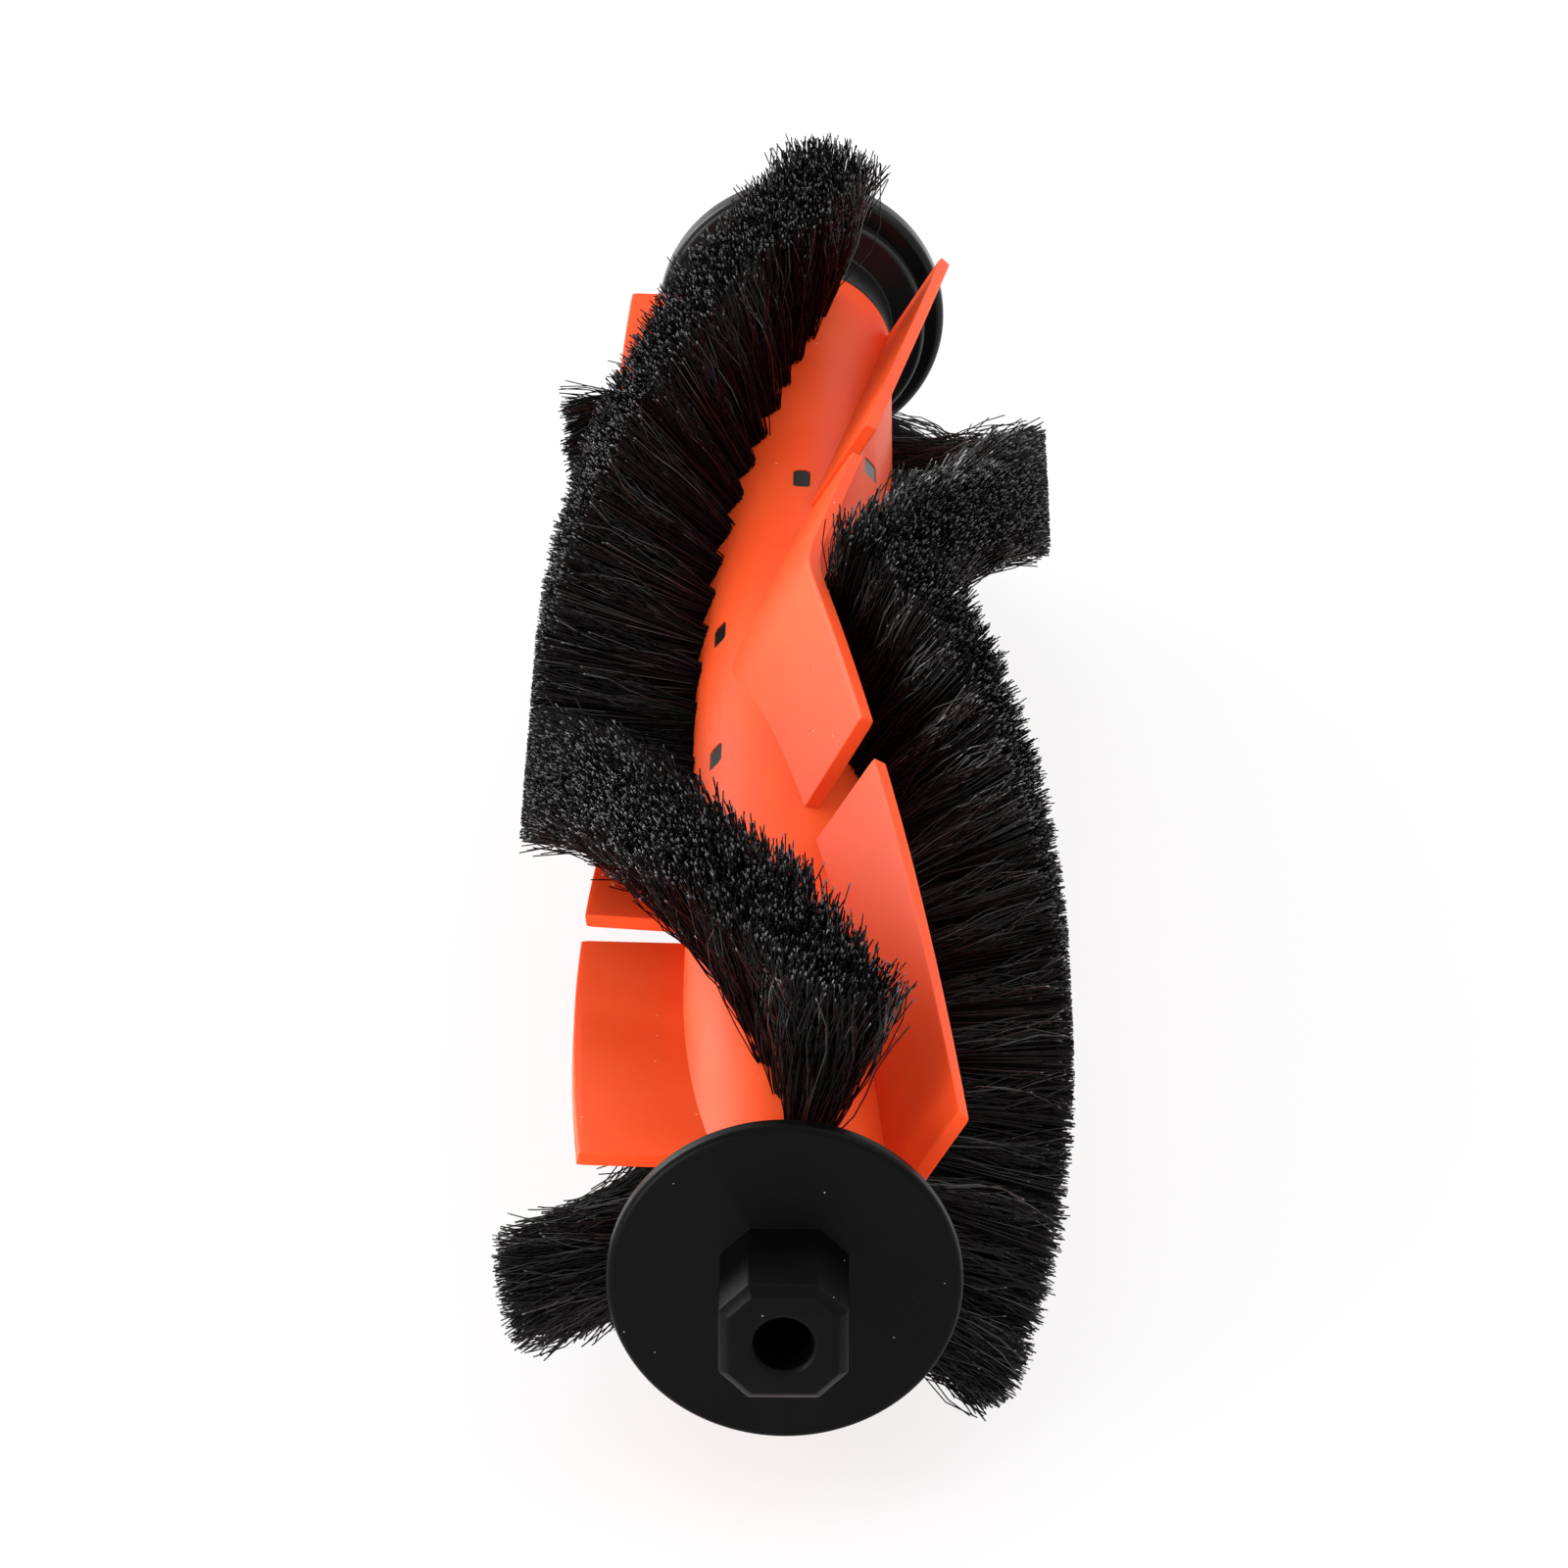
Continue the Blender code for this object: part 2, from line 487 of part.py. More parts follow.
def bearing():
    """Small shielded ball bearing: two races, a cage with its balls and two shields."""
    groove = BALL_RADIUS + BALL_CLEARANCE
    inner_land = BALL_PITCH_RADIUS - RACE_SHOULDER
    outer_land = BALL_PITCH_RADIUS + RACE_SHOULDER
    groove_half = (groove ** 2 - RACE_SHOULDER ** 2) ** 0.5
    opening = degrees(asin(groove_half / groove))
    outer_radius = BEARING_OUTER_RADIUS
    seat = outer_land + SHIELD_LAND
    inner = [(inner_land, BEARING_END),
             *arc(BALL_PITCH_RADIUS, BEARING_MIDDLE, groove, 180 - opening, 180 + opening, 4),
             (inner_land, BEARING_START), (BEARING_BORE_RADIUS, BEARING_START),
             (BEARING_BORE_RADIUS, BEARING_END)]
    outer = [(outer_radius, BEARING_END), (outer_radius, BEARING_START), (seat, BEARING_START),
             (seat, BEARING_START + SHIELD_SEAT_DEPTH), (outer_land, BEARING_START + SHIELD_SEAT_DEPTH),
             *arc(BALL_PITCH_RADIUS, BEARING_MIDDLE, groove, -opening, opening, 4),
             (outer_land, BEARING_END - SHIELD_SEAT_DEPTH), (seat, BEARING_END - SHIELD_SEAT_DEPTH),
             (seat, BEARING_END)]
    turn(place("bearing_inner_race", profile_mesh("inner_race", [inner], True), bearing_steel),
         BORE_SEGMENTS)
    turn(place("bearing_outer_race", profile_mesh("outer_race", [outer], True), bearing_steel),
         BORE_SEGMENTS)

    shield_outer = seat - FIT_GAP
    shield_inner = inner_land + 2 * FIT_GAP
    for name, start in (("bearing_shield_roller_side", BEARING_START + FIT_GAP),
                        ("bearing_shield_cap_side", BEARING_END - FIT_GAP - SHIELD_THICKNESS)):
        end = start + SHIELD_THICKNESS
        ring = [(shield_outer, end), (shield_outer, start), (shield_inner, start), (shield_inner, end)]
        turn(place(name, profile_mesh(name, [ring], True), bearing_steel), BORE_SEGMENTS)

    pocket = BALL_RADIUS + CAGE_POCKET_CLEARANCE
    cage_half = pocket + CAGE_RIM
    cage_outer = BALL_PITCH_RADIUS + CAGE_THICKNESS / 2
    cage_inner = BALL_PITCH_RADIUS - CAGE_THICKNESS / 2
    ring = [(cage_outer, BEARING_MIDDLE + cage_half), (cage_outer, BEARING_MIDDLE - cage_half),
            (cage_inner, BEARING_MIDDLE - cage_half), (cage_inner, BEARING_MIDDLE + cage_half)]
    cage = turn(place("bearing_cage", profile_mesh("bearing_cage", [ring], True), cage_steel),
                BORE_SEGMENTS)
    bm = bmesh.new()
    for number in range(BALL_COUNT):
        angle = 360 / BALL_COUNT * number
        centre = around(BALL_PITCH_RADIUS, angle, BEARING_MIDDLE)
        outward = Matrix.Translation(centre) @ Matrix.Rotation(pi / 2 - radians(angle), 4, "Y")
        bmesh.ops.create_cone(bm, cap_ends=True, segments=BALL_SEGMENTS, radius1=pocket,
                              radius2=pocket, depth=BALL_RADIUS + CUT_OVERRUN, matrix=outward)
        ball = bmesh.new()
        bmesh.ops.create_uvsphere(ball, u_segments=BALL_SEGMENTS, v_segments=BALL_RINGS,
                                  radius=BALL_RADIUS, matrix=Matrix.Translation(centre))
        name = "bearing_ball_" + str(number + 1)
        place(name, mesh_from(ball, name), bearing_steel)
    bmesh.ops.recalc_face_normals(bm, faces=bm.faces)
    boolean(cage, "DIFFERENCE", place_cutter("cage_pockets", mesh_from(bm, "cage_pockets")))


def axle_pin():
    """Steel pin pressed into the shaft; the bearing's inner race slides on it."""
    radius = BEARING_BORE_RADIUS - FIT_GAP
    start = GUARD_END - PIN_LENGTH_IN_SHAFT
    end = BEARING_END
    outline = [(0, end), (radius - PIN_END_CHAMFER, end), (radius, end - PIN_END_CHAMFER),
               (radius, start + PIN_END_CHAMFER), (radius - PIN_END_CHAMFER, start), (0, start)]
    turn(place("axle_pin", profile_mesh("axle_pin", [outline], False), pin_steel), BORE_SEGMENTS)


def idle_end_cap():
    """Round cap with a blind hub that holds the bearing."""
    pocket = BEARING_OUTER_RADIUS + FIT_GAP
    rim_round = IDLE_CAP_EDGE_ROUND
    rim = DISC_RADIUS - rim_round
    outline = [(0, HUB_END), (HUB_RADIUS - HUB_END_CHAMFER, HUB_END),
               (HUB_RADIUS, HUB_END - HUB_END_CHAMFER), (HUB_RADIUS, CAP_RIM_END),
               *arc(rim, CAP_RIM_END - rim_round, rim_round, 90, 0, 2),
               *arc(rim, CAP_START + rim_round, rim_round, 0, -90, 2),
               (pocket, CAP_START), (pocket, POCKET_END), (0, POCKET_END)]
    turn(place("idle_end_cap", profile_mesh("idle_end_cap", [outline], False), cap_plastic),
         DISC_SEGMENTS)


drive_end_cap()
core_shaft()
flap_sleeve()
for row_number in range(ROW_COUNT):
    bristle_row(row_number)
axle_pin()
bearing()
idle_end_cap()
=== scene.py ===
"""Robot vacuum main brush: orange split-flap sleeve, black V rows of bristles, two black ends."""

import json
import random
from math import asin, cos, degrees, exp, log, pi, radians, sin, sqrt

import bmesh
import bpy
from mathutils import Matrix, Vector

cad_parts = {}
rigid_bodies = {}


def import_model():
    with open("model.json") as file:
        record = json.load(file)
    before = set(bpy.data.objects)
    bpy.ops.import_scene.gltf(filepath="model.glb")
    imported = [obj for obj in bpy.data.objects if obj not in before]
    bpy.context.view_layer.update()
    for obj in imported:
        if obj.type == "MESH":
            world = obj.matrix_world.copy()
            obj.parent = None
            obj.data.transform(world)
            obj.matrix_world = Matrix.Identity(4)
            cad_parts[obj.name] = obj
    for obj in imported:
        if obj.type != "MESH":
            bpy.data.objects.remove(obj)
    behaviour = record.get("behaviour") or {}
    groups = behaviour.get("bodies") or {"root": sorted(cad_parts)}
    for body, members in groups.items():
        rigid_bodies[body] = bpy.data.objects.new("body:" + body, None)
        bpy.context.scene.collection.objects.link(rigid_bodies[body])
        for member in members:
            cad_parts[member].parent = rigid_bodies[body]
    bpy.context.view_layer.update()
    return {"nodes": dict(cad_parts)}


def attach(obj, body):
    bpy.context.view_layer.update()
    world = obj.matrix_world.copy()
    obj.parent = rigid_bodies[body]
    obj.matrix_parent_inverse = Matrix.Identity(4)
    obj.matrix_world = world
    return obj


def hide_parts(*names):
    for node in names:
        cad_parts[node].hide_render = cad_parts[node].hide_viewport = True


for thing in list(bpy.data.objects):
    bpy.data.objects.remove(thing)
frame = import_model()

# Drive end cap: one moulding in black glass-filled nylon.  A thin disc keeps hair off the end of
# the brush, and a chamfered square boss in front of it is turned by the machine's coupling.
# The mould leaves a fine satin grain, and dust clings to it.
ROLLER_START = -0.08405
AXIS_HEIGHT = 0.02065
DISC_RADIUS = 0.0125
DISC_THICKNESS = 0.00145
DISC_EDGE_ROUND = 0.00055
DISC_BACK_ROUND = 0.0003
BOSS_WIDTH = 0.009
BOSS_LENGTH = 0.0085
BOSS_CORNER_CHAMFER = 0.00205
BOSS_NOSE_CHAMFER = 0.00067
SOCKET_RADIUS = 0.00203
SOCKET_FLOOR = 0.0047
SOCKET_MOUTH_CHAMFER = 0.0003
SOCKET_STEPS = 64
PLUG_RADIUS = 0.0037
PLUG_END = 0.01275
PLUG_LEAD_IN = 0.0006
CUT_OVERRUN = 0.001
MOULD_EDGE_ROUND = 0.00013
MOULD_EDGE_ANGLE = 28
CREASE_ANGLE = 30
TURN_STEPS = 144
FLOW_PATCH = 0.006
DUST_CELL = 0.0007
DUST_REACH_SHARE = 0.075


def linear(colour):
    """Linear colour of an sRGB hex value."""
    parts = [int(colour[i:i + 2], 16) / 255 for i in (1, 3, 5)]
    return tuple(p / 12.92 if p <= 0.04045 else ((p + 0.055) / 1.055) ** 2.4 for p in parts) + (1,)


def add(tree, kind, values=None, **settings):
    """Add a node; an input takes a plain value or the output socket that feeds it."""
    made = tree.nodes.new(kind)
    for name, value in settings.items():
        setattr(made, name, value)
    for name, value in (values or {}).items():
        if isinstance(value, bpy.types.NodeSocket):
            tree.links.new(value, made.inputs[name])
        else:
            made.inputs[name].default_value = value
    return made


def compare(tree, operation, value, limit):
    """1 where a value is over or under a limit, else 0."""
    return add(tree, "ShaderNodeMath", {0: value, 1: limit}, operation=operation).outputs[0]


def blend(tree, factor, first, second, **settings):
    """Colour mixed from two; each may be a colour or a socket."""
    return add(tree, "ShaderNodeMix", {"Factor": factor, "A": first, "B": second},
               data_type="RGBA", **settings).outputs["Result"]


def speckled(tree, base, cells, reach_share, channel, share, colour):
    """A round speck in the middle of a share of the cells of a Voronoi pattern."""
    near = compare(tree, "LESS_THAN", cells.outputs["Distance"], reach_share)
    split = add(tree, "ShaderNodeSeparateColor", {"Color": cells.outputs["Color"]})
    chosen = compare(tree, "GREATER_THAN", split.outputs[channel], 1 - share)
    speck = add(tree, "ShaderNodeMath", {0: near, 1: chosen}, operation="MULTIPLY")
    return blend(tree, speck.outputs[0], base, linear(colour))


def moulded(name, colour, roughness, grain_mm, grain_depth, dust_colour, dust_share, specular):
    """Moulded plastic: even colour with faint flow marks, a fine grain and clinging dust."""
    material = bpy.data.materials.new(name)
    material.use_nodes = True
    tree = material.node_tree
    shader = tree.nodes["Principled BSDF"]
    shader.inputs["Specular IOR Level"].default_value = specular
    place = add(tree, "ShaderNodeTexCoord").outputs["Object"]
    # Flow marks: soft patches, up to a fifth lighter or darker and a little smoother or duller
    flow = add(tree, "ShaderNodeTexNoise", {"Vector": place, "Scale": 1 / FLOW_PATCH,
                                            "Detail": 3.0})
    tone = add(tree, "ShaderNodeMapRange", {"Value": flow.outputs["Fac"], "From Min": 0.35,
                                            "From Max": 0.65, "To Min": 0.8, "To Max": 1.2})
    tinted = blend(tree, 1.0, linear(colour), tone.outputs["Result"], blend_type="MULTIPLY")
    shine = add(tree, "ShaderNodeMapRange", {"Value": flow.outputs["Fac"], "From Min": 0.3,
                                             "From Max": 0.7, "To Min": roughness - 0.05,
                                             "To Max": roughness + 0.05})
    tree.links.new(shine.outputs["Result"], shader.inputs["Roughness"])
    # Dust: specks of about 0.1 mm
    cells = add(tree, "ShaderNodeTexVoronoi", {"Vector": place, "Scale": 1 / DUST_CELL})
    dusty = speckled(tree, tinted, cells, DUST_REACH_SHARE, "Red", dust_share, dust_colour)
    tree.links.new(dusty, shader.inputs["Base Color"])
    grain = add(tree, "ShaderNodeTexNoise", {"Vector": place, "Scale": 1000 / grain_mm,
                                             "Detail": 2.0})
    bump = add(tree, "ShaderNodeBump", {"Height": grain.outputs["Fac"], "Strength": 1.0,
                                        "Distance": grain_depth})
    tree.links.new(bump.outputs["Normal"], shader.inputs["Normal"])
    return material


def finished(name, bm):
    """Turn a bmesh into a shaded object of the scene."""
    mesh = bpy.data.meshes.new(name)
    bm.to_mesh(mesh)
    bm.free()
    mesh.shade_smooth()
    mesh.set_sharp_from_angle(angle=radians(CREASE_ANGLE))
    thing = bpy.data.objects.new(name, mesh)
    bpy.context.scene.collection.objects.link(thing)
    return thing


def turned(name, outline, steps=TURN_STEPS):
    """Closed mesh of an outline of (radius, place along the roller), turned about the axis."""
    bm = bmesh.new()
    rings = []
    for radius, along in outline:
        y = ROLLER_START + along
        if radius == 0:
            rings.append([bm.verts.new((0, y, AXIS_HEIGHT))])
            continue
        ring = []
        for step in range(steps):
            angle = 2 * pi * step / steps
            ring.append(bm.verts.new((radius * cos(angle), y, AXIS_HEIGHT + radius * sin(angle))))
        rings.append(ring)
    pairs = list(zip(rings, rings[1:]))
    if len(rings[0]) > 1:
        pairs.append((rings[-1], rings[0]))
    for low, high in pairs:
        for step in range(steps):
            corners = [low[step % len(low)], low[(step + 1) % len(low)],
                       high[(step + 1) % len(high)], high[step % len(high)]]
            bm.faces.new([v for i, v in enumerate(corners) if v not in corners[:i]])
    bmesh.ops.recalc_face_normals(bm, faces=bm.faces)
    return finished(name, bm)


def rounded(centre_radius, centre_along, radius, start, end, steps=6):
    """Outline points of a rounded edge; 0 degrees points outwards, 90 to the idle end."""
    angles = [radians(start + (end - start) * i / steps) for i in range(steps + 1)]
    return [(centre_radius + radius * cos(a), centre_along + radius * sin(a)) for a in angles]


def baked(thing):
    """Put the result of a thing's modifiers into its mesh."""
    depsgraph = bpy.context.evaluated_depsgraph_get()
    ready = bpy.data.meshes.new_from_object(thing.evaluated_get(depsgraph))
    thing.modifiers.clear()
    thing.data = ready
    ready.shade_smooth()
    return ready


def applied(thing, sharp_from=CREASE_ANGLE):
    """Bake a hard piece; its edges over the angle in degrees are crisp."""
    baked(thing).set_sharp_from_angle(angle=radians(sharp_from))


def combine(thing, operation, other):
    """Add an exact boolean of another thing."""
    step = thing.modifiers.new(operation, "BOOLEAN")
    step.operation = operation
    step.solver = "EXACT"
    step.object = other


def soften(thing, width, over_angle):
    """Add the small round that a mould leaves on edges over an angle in degrees."""
    step = thing.modifiers.new("soft moulded edges", "BEVEL")
    step.width = width
    step.segments = 2
    step.limit_method = "ANGLE"
    step.angle_limit = radians(over_angle)


glass_nylon = moulded("glass-filled nylon, moulded black", "#040405", roughness=0.38,
                      grain_mm=0.16, grain_depth=0.000008, dust_colour="#a2a4a4",
                      dust_share=0.07, specular=0.07)
drive_cap = turned("drive_cap", [
    (0, PLUG_END), (PLUG_RADIUS - PLUG_LEAD_IN, PLUG_END), (PLUG_RADIUS, PLUG_END - PLUG_LEAD_IN),
    (PLUG_RADIUS, DISC_THICKNESS),
    *rounded(DISC_RADIUS - DISC_BACK_ROUND, DISC_THICKNESS - DISC_BACK_ROUND, DISC_BACK_ROUND,
             90, 0, 4),
    *rounded(DISC_RADIUS - DISC_EDGE_ROUND, DISC_EDGE_ROUND, DISC_EDGE_ROUND, 0, -90, 8), (0, 0)])
block = bmesh.new()
bmesh.ops.create_cube(block, size=1)
bmesh.ops.scale(block, vec=(BOSS_WIDTH, BOSS_LENGTH + DISC_THICKNESS / 2, BOSS_WIDTH),
                verts=block.verts)
bmesh.ops.translate(block, vec=(0, ROLLER_START - BOSS_LENGTH / 2 + DISC_THICKNESS / 4,
                                AXIS_HEIGHT), verts=block.verts)
corners = [e for e in block.edges if abs(e.verts[0].co.y - e.verts[1].co.y) > BOSS_LENGTH / 2]
bmesh.ops.bevel(block, geom=corners, offset=BOSS_CORNER_CHAMFER, segments=1, affect="EDGES")
front = min(v.co.y for v in block.verts)
nose = [e for e in block.edges if all(v.co.y < front + BOSS_LENGTH / 2 for v in e.verts)]
bmesh.ops.bevel(block, geom=nose, offset=BOSS_NOSE_CHAMFER, segments=1, affect="EDGES")
boss = finished("boss", block)
mouth = -BOSS_LENGTH
socket = turned("socket", [
    (0, SOCKET_FLOOR), (SOCKET_RADIUS, SOCKET_FLOOR), (SOCKET_RADIUS, mouth + SOCKET_MOUTH_CHAMFER),
    (SOCKET_RADIUS + SOCKET_MOUTH_CHAMFER + CUT_OVERRUN, mouth - CUT_OVERRUN),
    (0, mouth - CUT_OVERRUN)], SOCKET_STEPS)
combine(drive_cap, "UNION", boss)
combine(drive_cap, "DIFFERENCE", socket)
applied(drive_cap)
for helper in (boss, socket):
    bpy.data.objects.remove(helper)
soften(drive_cap, MOULD_EDGE_ROUND, MOULD_EDGE_ANGLE)
applied(drive_cap)
drive_cap.data.materials.append(glass_nylon)
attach(drive_cap, "roller")
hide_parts("drive_end_cap")

# Core shaft: a dark grey ABS tube that the orange sleeve is moulded over.  It shows through the
# slots of the sleeve, and at the idle end it widens to a collar and a hair guard disc.
# The ABS is a little lighter and shinier than the nylon of the drive end.
SLEEVE_START = 0.00175
CORE_RADIUS = 0.0079
SHAFT_RADIUS = 0.0062
SHAFT_BORE = 0.004
SHAFT_BORE_END = 0.156
PIN_BORE = 0.0015
COLLAR_START = 0.1632
GUARD_RADIUS = 0.0108
GUARD_START = 0.1681
GUARD_END = 0.17
GUARD_ROUND = 0.0004
NOSE_RADIUS = 0.0023
NOSE_LENGTH = 0.0008
SMALL_ROUND = 0.0003
grey_abs = moulded("ABS, moulded dark grey", "#111112", roughness=0.33, grain_mm=0.2,
                   grain_depth=0.000006, dust_colour="#8a8b8a", dust_share=0.03, specular=0.24)
shaft = turned("shaft", [
    (PIN_BORE, GUARD_END + NOSE_LENGTH), (NOSE_RADIUS, GUARD_END + NOSE_LENGTH),
    (NOSE_RADIUS, GUARD_END),
    *rounded(GUARD_RADIUS - SMALL_ROUND, GUARD_END - SMALL_ROUND, SMALL_ROUND, 90, 0, 4),
    *rounded(GUARD_RADIUS - GUARD_ROUND, GUARD_START + GUARD_ROUND, GUARD_ROUND, 0, -90, 5),
    *rounded(CORE_RADIUS + SMALL_ROUND, GUARD_START - SMALL_ROUND, SMALL_ROUND, 90, 180, 3),
    *rounded(CORE_RADIUS - SMALL_ROUND, COLLAR_START + SMALL_ROUND, SMALL_ROUND, 0, -90, 4),
    (SHAFT_RADIUS, COLLAR_START), (SHAFT_RADIUS, SLEEVE_START), (SHAFT_BORE, SLEEVE_START),
    (SHAFT_BORE, SHAFT_BORE_END), (PIN_BORE, SHAFT_BORE_END)])
shaft.data.materials.append(grey_abs)
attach(shaft, "roller")
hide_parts("core_shaft")

# Flap sleeve: soft orange thermoplastic rubber, moulded over the shaft in one shot.  Each of its
# three flaps is a V of flat blades skewed to the axis, split twice so that it can fold round the
# apex.  The rubber is semi-matte and lets a little light in, so its shadows stay warm.
SLEEVE_END = 0.1629
SLEEVE_WALL = 0.0014
SLEEVE_END_ROUND = 0.0002
APEX = 0.084
FLAP_COUNT = 3
FLAP_ANGLE = 58.3
FLAP_RADIAL_AT = 0.0419
FLAP_SKEW_SHARE = 0.1603
FLAP_TIP_RADIUS = 0.0159
FLAP_HALF_LENGTH = 0.0768
FLAP_THICKNESS = 0.00108
FLAP_EDGE_ROUND = 0.00009
LIP_THICKNESS = 0.00096
LIP_WIDTH = 0.0006
IDLE_HALF_LEAN = 0.00085
FOLD_SOFTNESS = 0.0004
FOOT_SHARE = 0.5
SKEWED_FROM_SHARE = 0.6
SLIT_FROM_APEX = 0.024
SLIT_ROOT_FROM_APEX = 0.0254
SLIT_ROOT_WIDTH = 0.0047
SLIT_TIP_WIDTH = 0.0063
MIDDLE_STEPS = 20
OUTER_STEPS = 12


def flap_shift(from_apex):
    """How far a blade stands to the side of the axis; the rubber folds in a soft bend."""
    drive_half = FLAP_SKEW_SHARE * (FLAP_RADIAL_AT + from_apex)
    lean = IDLE_HALF_LEAN * (1 - (max(0, from_apex) / FLAP_HALF_LENGTH) ** 2)
    idle_half = FLAP_SKEW_SHARE * (FLAP_RADIAL_AT - from_apex) + lean
    nearer = min(drive_half, idle_half)
    return nearer - FOLD_SOFTNESS * log(exp((nearer - drive_half) / FOLD_SOFTNESS)
                                        + exp((nearer - idle_half) / FOLD_SOFTNESS))


def blade_outline(shift):
    """Cross-section of a blade to one side of the axis: points out along it and back.

    It starts inside the sleeve and ends in a nearly square edge.
    """
    half = FLAP_THICKNESS / 2
    lip = LIP_THICKNESS / 2
    tip = sqrt(FLAP_TIP_RADIUS ** 2 - shift ** 2)
    sides = []
    for side in (1, -1):
        edge = shift + side * half
        foot = sqrt(CORE_RADIUS ** 2 - min(edge ** 2, (CORE_RADIUS * 0.98) ** 2))
        sides.append([(FOOT_SHARE * foot, shift + side * half),
                      (tip - LIP_WIDTH, shift + side * half), (tip, shift + side * lip)])
    return sides[0] + sides[1][::-1]


def flap_piece(bm, turn, stations):
    """Loft one blade through its stations: distance from the apex at its foot and at its tip."""
    rings = []
    skewed_from = CORE_RADIUS * SKEWED_FROM_SHARE
    for from_apex, tip_from_apex in stations:
        shift = flap_shift(from_apex)
        ring = []
        for out, across in blade_outline(shift):
            share = max(0, (out - skewed_from) / (FLAP_TIP_RADIUS - skewed_from))
            along = from_apex + (tip_from_apex - from_apex) * share
            across += flap_shift(along) - shift
            radius = sqrt(out ** 2 + across ** 2)
            if radius > FLAP_TIP_RADIUS:
                out = sqrt(FLAP_TIP_RADIUS ** 2 - across ** 2)
            x = out * cos(turn) - across * sin(turn)
            z = out * sin(turn) + across * cos(turn)
            ring.append(bm.verts.new((x, ROLLER_START + APEX + along, AXIS_HEIGHT + z)))
        rings.append(ring)
    count = len(rings[0])
    for low, high in zip(rings, rings[1:]):
        for i in range(count):
            bm.faces.new((low[i], low[(i + 1) % count], high[(i + 1) % count], high[i]))
    bm.faces.new(rings[0][::-1])
    bm.faces.new(rings[-1])


slit_foot = SLIT_ROOT_FROM_APEX + SLIT_ROOT_WIDTH
slit_tip = SLIT_FROM_APEX + SLIT_TIP_WIDTH
blades = bmesh.new()
for flap in range(FLAP_COUNT):
    turn = radians(FLAP_ANGLE + 360 / FLAP_COUNT * flap)
    middle = [(SLIT_ROOT_FROM_APEX * k / MIDDLE_STEPS, SLIT_FROM_APEX * k / MIDDLE_STEPS)
              for k in range(-MIDDLE_STEPS, MIDDLE_STEPS + 1)]
    flap_piece(blades, turn, middle)
    for side in (-1, 1):
        outer = []
        for k in range(OUTER_STEPS + 1):
            share = k / OUTER_STEPS
            outer.append((side * (slit_foot + (FLAP_HALF_LENGTH - slit_foot) * share),
                          side * (slit_tip + (FLAP_HALF_LENGTH - slit_tip) * share)))
        flap_piece(blades, turn, outer)
bmesh.ops.recalc_face_normals(blades, faces=blades.faces)
flaps = finished("flaps", blades)
soften(flaps, FLAP_EDGE_ROUND, 50)
applied(flaps, 6)

SLEEVE_ROUND_AT = CORE_RADIUS - SLEEVE_END_ROUND
sleeve = turned("sleeve", [
    (CORE_RADIUS - SLEEVE_WALL, SLEEVE_END),
    *rounded(SLEEVE_ROUND_AT, SLEEVE_END - SLEEVE_END_ROUND, SLEEVE_END_ROUND, 90, 0, 3),
    *rounded(SLEEVE_ROUND_AT, SLEEVE_START + SLEEVE_END_ROUND, SLEEVE_END_ROUND, 0, -90, 3),
    (CORE_RADIUS - SLEEVE_WALL, SLEEVE_START)])

# The slots beside the flaps, each filled almost flush by a pad of the shaft.  A place is the
# distance from the apex and the angle from the flap's foot in degrees.
SLOT_PLACES = ((-0.011, 42), (0.011, 42), (0.0352, 21), (0.0431, -17))
SLOT_LENGTH = 0.0034
SLOT_WIDTH = 0.0014
SLOT_CORNER_ROUND = 0.00022
SLOT_FROM_RADIUS = 0.006
SLOT_TO_RADIUS = 0.0086
PAD_FROM_RADIUS = 0.0058
PAD_TO_RADIUS = 0.00782
PAD_GAP = 0.00006
slots = bmesh.new()
pads = bmesh.new()
for flap in range(FLAP_COUNT):
    for from_apex, from_foot in SLOT_PLACES:
        shift = FLAP_SKEW_SHARE * (FLAP_RADIAL_AT - abs(from_apex))
        foot_angle = FLAP_ANGLE + 360 / FLAP_COUNT * flap + degrees(asin(shift / CORE_RADIUS))
        angle = radians(foot_angle + from_foot)
        outward = Vector((cos(angle), 0, sin(angle)))
        seat = Matrix.Translation((0, ROLLER_START + APEX + from_apex, AXIS_HEIGHT))
        seat = seat @ Matrix.Rotation(-angle, 4, "Y")
        for bm, low, high, gap in ((slots, SLOT_FROM_RADIUS, SLOT_TO_RADIUS, 0),
                                   (pads, PAD_FROM_RADIUS, PAD_TO_RADIUS, PAD_GAP)):
            size = Matrix.Diagonal((high - low, SLOT_LENGTH - 2 * gap, SLOT_WIDTH - 2 * gap, 1))
            centre = Matrix.Translation(((low + high) / 2, 0, 0))
            made = bmesh.ops.create_cube(bm, size=1, matrix=seat @ centre @ size)["verts"]
            upright = [e for e in {e for v in made for e in v.link_edges}
                       if abs((e.verts[1].co - e.verts[0].co).normalized().dot(outward)) > 0.9]
            bmesh.ops.bevel(bm, geom=upright, offset=SLOT_CORNER_ROUND, segments=3,
                            affect="EDGES")
shaft_pads = finished("shaft_pads", pads)
shaft_pads.data.materials.append(grey_abs)
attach(shaft_pads, "roller")
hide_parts("core_shaft")
cutter = finished("slots", slots)
combine(sleeve, "DIFFERENCE", cutter)
applied(sleeve)
bpy.data.objects.remove(cutter)

